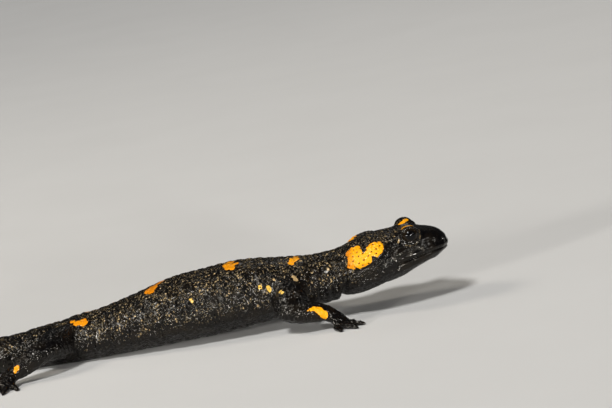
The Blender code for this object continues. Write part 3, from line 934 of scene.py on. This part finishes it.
def paint(skin):
    """Stores the fields that the skin's finish reads."""
    skin.index_points()
    rough = np.stack([noise_at(skin.points, 1.1, 31.0 + 10 * k) for k in range(3)], 1)
    moved = skin.points + RAGGED * rough
    yellow = lid_marks(skin)
    tone = np.where(skin.side < 0, LID_LINE_TONE, 0.0)
    for side in (-1, 1):
        field = gland_mark_field(skin, side) + 0.22 * rough[:, 0]
        tone = np.where(field > yellow, fade(skin.at, 20.3, 23.2), tone)
        yellow = np.maximum(yellow, field)
    for orange, lobes in SPOTS:
        field = lobe_field(moved, body_lobes(skin, lobes))
        tone = np.where(field > yellow, orange, tone)
        yellow = np.maximum(yellow, field)
    skin.attribute("yellow", np.clip(yellow, -2, 2))
    skin.attribute("orange", skin.soften(tone, 3))
    # Pale brown flecks, with painted highlights along the neck fold and along the fold below each eye
    flecks_and_highlights = lobe_field(moved, body_lobes(skin, FLECKS_AND_HIGHLIGHTS))
    skin.attribute("fleck_and_highlight", np.clip(np.maximum(flecks_and_highlights, lid_ring_highlight(skin)), -2, 2))
    skin.attribute("pore", np.clip(skin.pore, 0, 2))
    body = fade(skin.at, 13, 27)
    dust = body * (0.30 + 0.70 * fade(skin.turn, 15, 62)) * fade(skin.turn, -35, 10)
    dust *= (1 - 0.25 * fade(skin.at, 52, 70) - 0.35 * fade(skin.at, 82, 100)) * (1 - 0.9 * skin.limb)
    crown = 0.75 * fade(skin.turn, 38, 58) * window(skin.at, 6.0, 13.5, 20, 30)
    skin.attribute("dust", np.clip(np.maximum(dust, crown), 0, 1))
    skin.attribute("smooth", np.maximum(fade(skin.at, 13.5, 7.0), 0.8 * cheek_field(skin)))


# ---- Finishes ----

BLACK = (0.0015, 0.0013, 0.0015)
BROWN_BLACK = (0.0045, 0.0032, 0.0022)
YELLOW = (0.68, 0.27, 0.001)
ORANGE = (0.54, 0.17, 0.001)
PALE_YELLOW = (0.46, 0.31, 0.06)
DUST = (0.33, 0.235, 0.115)
DIM_DUST = (0.08, 0.062, 0.034)
# The flecks' pale brown, also used for the painted highlights on the neck fold and below each eye
FLECK_AND_HIGHLIGHT = (0.30, 0.205, 0.095)
COARSE_GRAIN, FINE_GRAIN, DOT_SIZE = 0.62, 0.36, 0.27
GRAIN_RELIEF, DOT_RELIEF = 0.26, 0.015
GRAIN_TILT = 1.7
ROUGHNESS = (0.21, 0.24)  # of the grainy skin, and of the smooth skin on snout and cheeks


class Finish:
    """A material with short calls for its nodes. Its textures' lengths are in millimetres."""

    def __init__(self, name, **values):
        self.material = bpy.data.materials.new(name)
        self.material.use_nodes = True
        self.tree = self.material.node_tree
        self.shader = self.tree.nodes["Principled BSDF"]
        for key, value in values.items():
            self.shader.inputs[key.replace("_", " ")].default_value = value
        inputs = ((0, self.node("TexCoord").outputs["Object"]), ("Scale", 1 / MM))
        self.place = self.node("VectorMath", inputs, operation="SCALE").outputs[0]

    def node(self, kind, inputs=(), **settings):
        """A new node with its settings, and with values or other sockets for its inputs."""
        made = self.tree.nodes.new("ShaderNode" + kind)
        for name, value in settings.items():
            setattr(made, name, value)
        for name, value in inputs:
            self.put(made.inputs[name], value)
        return made

    def put(self, socket, value):
        if isinstance(value, bpy.types.NodeSocket):
            self.tree.links.new(value, socket)
        elif isinstance(value, tuple) and len(value) == 3 and socket.type == "RGBA":
            socket.default_value = (*value, 1.0)
        else:
            socket.default_value = value

    def set(self, name, value):
        self.put(self.shader.inputs[name], value)

    def math(self, operation, *values):
        return self.node("Math", enumerate(values), operation=operation).outputs[0]

    def add(self, a, b):
        return self.math("ADD", a, b)

    def line(self, value, slope, start):
        """slope times value, plus start."""
        return self.math("MULTIPLY_ADD", value, slope, start)

    def times(self, *values):
        out = values[0]
        for value in values[1:]:
            out = self.math("MULTIPLY", out, value)
        return out

    def ramp(self, value, low, high, start=0.0, end=1.0):
        """start below low, end above high and smooth between."""
        inputs = enumerate((value, low, high, start, end))
        return self.node("MapRange", inputs, interpolation_type="SMOOTHSTEP").outputs[0]

    def mix(self, share, a, b):
        """A colour from a to b. The node's inputs 6 and 7 and its output 2 are the ones for colours."""
        return self.node("Mix", ((0, share), (6, a), (7, b)), data_type="RGBA").outputs[2]

    def noise(self, size, detail=2.0, rough=0.5):
        inputs = (("Vector", self.place), ("Scale", 1 / size), ("Detail", detail), ("Roughness", rough))
        return self.node("TexNoise", inputs).outputs["Fac"]

    def cells(self, place, size):
        """What is known of the nearest of many small cells, such as the distance from its middle."""
        return self.node("TexVoronoi", (("Vector", place), ("Scale", 1 / size))).outputs

    def vector(self, operation, a, b):
        node = self.node("VectorMath", enumerate((a, b)), operation=operation)
        return node.outputs["Value" if operation == "DOT_PRODUCT" else "Vector"]

    def granules(self, size, stretch):
        """Rounded grains whose tops tilt this way and that: their height from 0 in the furrows to about 1,
        the distance from each grain's middle, and two random shades for each grain."""
        place = self.vector("MULTIPLY", self.place, stretch)
        cells = self.cells(place, size)
        tilt = self.vector("SUBTRACT", cells["Color"], (0.5, 0.5, 0.5))
        lean = self.vector("DOT_PRODUCT", self.vector("SUBTRACT", place, cells["Position"]), tilt)
        top = self.line(lean, GRAIN_TILT / size, 0.6)
        height = self.times(top, self.ramp(cells["Distance"], 0.10, 0.62, 1.0, 0.0))
        shades = self.node("SeparateXYZ", ((0, cells["Color"]),)).outputs
        return height, cells["Distance"], shades["X"], shades["Y"]

    def speck(self, chosen, away):
        """1 near the middle of each grain that is chosen."""
        return self.times(self.ramp(chosen, 0.80, 0.91), self.ramp(away, 0.40, 0.66, 1.0, 0.0))

    def field(self, name):
        return self.node("Attribute", attribute_name=name).outputs["Fac"]

    def relief(self, height, depth, *under):
        """Bump from a height of 0 to 1 that stands for a depth."""
        inputs = [("Strength", 1.0), ("Distance", depth * MM), ("Height", height)]
        return self.node("Bump", inputs + [("Normal", normal) for normal in under]).outputs[0]


def skin_finish():
    """Wet black skin: glossy grains, some with tan specks, and yellow markings with black pores."""
    finish = Finish("skin", Metallic=0.0, IOR=1.26, Coat_Weight=0.30, Coat_Roughness=0.12, Coat_IOR=1.35,
                    Specular_Tint=(1.0, 0.90, 0.74, 1.0))
    yellow, pore, dust, smooth = (finish.field(n) for n in ("yellow", "pore", "dust", "smooth"))

    ragged = finish.line(finish.noise(0.42, 3.0), 0.36, -0.18)
    inside = finish.ramp(finish.add(yellow, ragged), -0.03, 0.04)
    holes = finish.line(finish.noise(0.35), 0.22, pore)
    inside = finish.times(inside, finish.ramp(holes, 0.25, 0.34))

    height, away, shade, tint = finish.granules(COARSE_GRAIN, (1.0, 1.0, 0.8))
    _, fine_away, fine_shade, _ = finish.granules(FINE_GRAIN, (1.0, 1.0, 1.0))
    black = finish.mix(finish.ramp(finish.noise(2.8, 3.0), 0.4, 0.7), BLACK, BROWN_BLACK)
    patches = finish.line(finish.noise(2.6, 2.0), 1.7, -0.85)
    ragged_edge = finish.line(finish.noise(0.22), 0.9, -0.2)
    layers = []
    for grain_shade, grain_away in ((shade, away), (fine_shade, fine_away)):
        chosen = finish.line(dust, 0.45, finish.add(grain_shade, patches))
        layers.append(finish.speck(chosen, finish.add(grain_away, ragged_edge)))
    specks = finish.math("MAXIMUM", layers[0], finish.times(layers[1], 0.75))
    specks = finish.times(specks, finish.ramp(dust, 0.02, 0.25))
    tan = finish.mix(finish.ramp(tint, 0.3, 0.9), DIM_DUST, DUST)
    colour = finish.mix(finish.times(specks, 0.95), black, tan)
    # Pale brown flecks, and painted highlights along the neck fold and the fold below each eye
    fleck_and_highlight = finish.ramp(finish.add(finish.field("fleck_and_highlight"), ragged), -0.05, 0.1)
    colour = finish.mix(finish.times(fleck_and_highlight, 0.9), colour, FLECK_AND_HIGHLIGHT)
    tone = finish.line(finish.noise(1.6, 2.0), 0.6, finish.field("orange"))
    bright = finish.mix(finish.ramp(tone, 0.35, 1.2), YELLOW, ORANGE)
    bright = finish.mix(finish.ramp(tone, -0.6, -0.1, 0.85, 0.0), bright, PALE_YELLOW)
    colour = finish.mix(inside, colour, bright)
    finish.set("Base Color", colour)

    rough = finish.ramp(smooth, 0.0, 1.0, *ROUGHNESS)
    rough = finish.line(specks, 0.25, rough)
    rough = finish.line(inside, 0.14, rough)
    rough = finish.add(rough, finish.ramp(finish.noise(1.2), 0.3, 0.7, -0.03, 0.05))
    finish.set("Roughness", rough)

    plain = finish.ramp(smooth, 0.0, 1.0, 1.0, 0.10)
    plain = finish.times(plain, finish.ramp(inside, 0.0, 1.0, 1.0, 0.55))
    normal = finish.relief(finish.times(height, plain), GRAIN_RELIEF)
    dots = finish.ramp(finish.cells(finish.place, DOT_SIZE)["Distance"], 0.05, 0.6, 1.0, 0.0)
    normal = finish.relief(finish.times(dots, plain), DOT_RELIEF, normal)
    finish.set("Normal", normal)
    finish.set("Coat Normal", normal)
    return finish.material


def make_skin():
    skin = plain_skin()
    carve(skin)
    paint(skin)
    skin.store()
    skin.mesh.shade_smooth()
    made = placed("salamander_skin", skin.mesh)
    made.data.materials.clear()
    made.data.materials.append(skin_finish())
    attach(made, "root")
    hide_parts(*FLESH)


# ---- Eyes ----

CORNEA_RISE = 0.08
IRIS_RING = (30.0, 33.0, 56.0, 62.0)  # where it fades in and out, in degrees off the eye's axis
IRIS = ((0.004, 0.003, 0.002), (0.010, 0.006, 0.003))


def eye_finish():
    """Black pupil in a very dark brown iris, wet and glossy."""
    finish = Finish("wet_eye", Metallic=0.0, IOR=1.27, Roughness=0.03)
    brown = finish.mix(finish.noise(0.3, 3.0, 0.6), *IRIS)
    finish.set("Base Color", finish.mix(finish.field("iris"), BLACK, brown))
    return finish.material


def make_eye(name, finish):
    """A glossy eyeball with a slight bulge over its wide dark iris, its pole pointing outwards."""
    eye = EyeView(name)
    shape = bmesh.new()
    bmesh.ops.create_uvsphere(shape, u_segments=96, v_segments=64, radius=EYE_RADIUS)
    turn = Matrix((eye.ahead, eye.up, eye.outward)).transposed()
    iris = []
    for vert in shape.verts:
        off_axis = math.degrees(vert.co.angle(Vector((0, 0, 1))))
        rise = CORNEA_RISE * fade(off_axis, 52.0, 15.0)
        iris.append(window(off_axis, *IRIS_RING))
        vert.co = (turn @ (vert.co * (1 + rise / EYE_RADIUS)) + Vector(eye.centre)) * MM
    bmesh.ops.recalc_face_normals(shape, faces=shape.faces)
    mesh = mesh_of(shape, name + "_ball")
    mesh.attributes.new("iris", "FLOAT", "POINT").data.foreach_set("value", iris)
    mesh.shade_smooth()
    mesh.materials.append(finish)
    made = placed(name + "_ball", mesh)
    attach(made, "root")
    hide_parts(name)


# ---- Floor, light and camera ----

CAMERA_ROLL = 10.0  # the view is turned by this, so that the level floor slopes in it
CAMERA_ELEVATION = 10.0
CAMERA_DISTANCE = 554.0
CAMERA_LENS, SENSOR_WIDTH = 150.0, 36.0
EYE_RIGHT_OF_CENTRE, EYE_BELOW_CENTRE = 22.4, 6.74  # where the right eye stands in the view
FLOOR_HALF_WIDTH = 3.0  # in metres
FLOOR_COLOURS = ((0.58, 0.57, 0.55), (0.61, 0.60, 0.58))


def make_camera():
    roll, rise = math.radians(CAMERA_ROLL), math.radians(CAMERA_ELEVATION)
    back = Vector((0.0, -math.cos(rise), math.sin(rise)))
    level = Vector((1.0, 0.0, 0.0))
    upright = back.cross(level)
    right = level * math.cos(roll) - upright * math.sin(roll)
    up = level * math.sin(roll) + upright * math.cos(roll)
    data = bpy.data.cameras.new("camera")
    data.lens = CAMERA_LENS
    data.sensor_width = SENSOR_WIDTH
    data.clip_start = 0.01
    place = Matrix((right, up, back)).transposed().to_4x4()
    eye = Vector(node_centre("right_eye"))
    offset = eye - right * EYE_RIGHT_OF_CENTRE + up * EYE_BELOW_CENTRE + back * CAMERA_DISTANCE
    place.translation = offset * MM
    camera = placed("camera", data)
    camera.matrix_world = place
    bpy.context.scene.camera = camera


def make_floor():
    finish = Finish("floor", Roughness=0.7, Specular_IOR_Level=0.2)
    finish.set("Base Color", finish.mix(finish.noise(40.0), *FLOOR_COLOURS))
    shape = bmesh.new()
    bmesh.ops.create_grid(shape, x_segments=1, y_segments=1, size=FLOOR_HALF_WIDTH)
    mesh = mesh_of(shape, "floor")
    mesh.materials.append(finish.material)
    floor = placed("floor", mesh)


SOFTBOXES = (  # name, place in metres, width in metres, power in watts, spread in degrees, colour
    ("left_box", (-0.40, 0.05, 0.46), 0.20, 1.2, 180, (1.0, 0.94, 0.84)),
    ("front_box", (1.04, -2.72, 0.28), 0.24, 6.8, 60, (1.0, 0.99, 0.97)),
    ("right_box", (0.50, -0.36, 0.20), 0.12, 0.038, 60, (0.98, 0.99, 1.0)),
    ("low_box", (-1.61, -1.82, 0.46), 0.25, 3.9, 60, (1.0, 0.98, 0.95)),
    ("back_box", (0.15, 0.55, 0.50), 0.20, 0.2, 180, (1.0, 0.97, 0.92)),
)
SUN_TOWARDS = (-0.32, -0.60, 0.85)  # from the floor to the main light
SUN_STRENGTH, SUN_ANGLE = 2.45, 12
SKY_COLOUR, SKY_STRENGTH = (0.92, 0.95, 1.0, 1.0), 0.03


def aimed(name, data, towards):
    """A lamp that shines from a direction at the middle of the floor."""
    light = placed(name, data)
    light.rotation_euler = Vector(towards).to_track_quat("Z", "Y").to_euler()
    return light


def make_lights():
    for name, place, width, power, spread, colour in SOFTBOXES:
        data = bpy.data.lights.new(name, "AREA")
        data.shape = "DISK"
        data.size = width
        data.spread = math.radians(spread)
        data.energy = power
        data.color = colour
        light = aimed(name, data, place)
        light.location = place
        light.visible_camera = False
    sun = bpy.data.lights.new("key", "SUN")
    sun.energy = SUN_STRENGTH
    sun.angle = math.radians(SUN_ANGLE)
    aimed("key", sun, SUN_TOWARDS)
    world = bpy.data.worlds.new("studio")
    world.use_nodes = True
    sky = world.node_tree.nodes["Background"]
    sky.inputs["Color"].default_value = SKY_COLOUR
    sky.inputs["Strength"].default_value = SKY_STRENGTH
    bpy.context.scene.world = world


make_skin()
eye_material = eye_finish()
for eye_name in EYES:
    make_eye(eye_name, eye_material)
make_floor()
make_lights()
make_camera()
bpy.context.scene.view_settings.view_transform = "Standard"
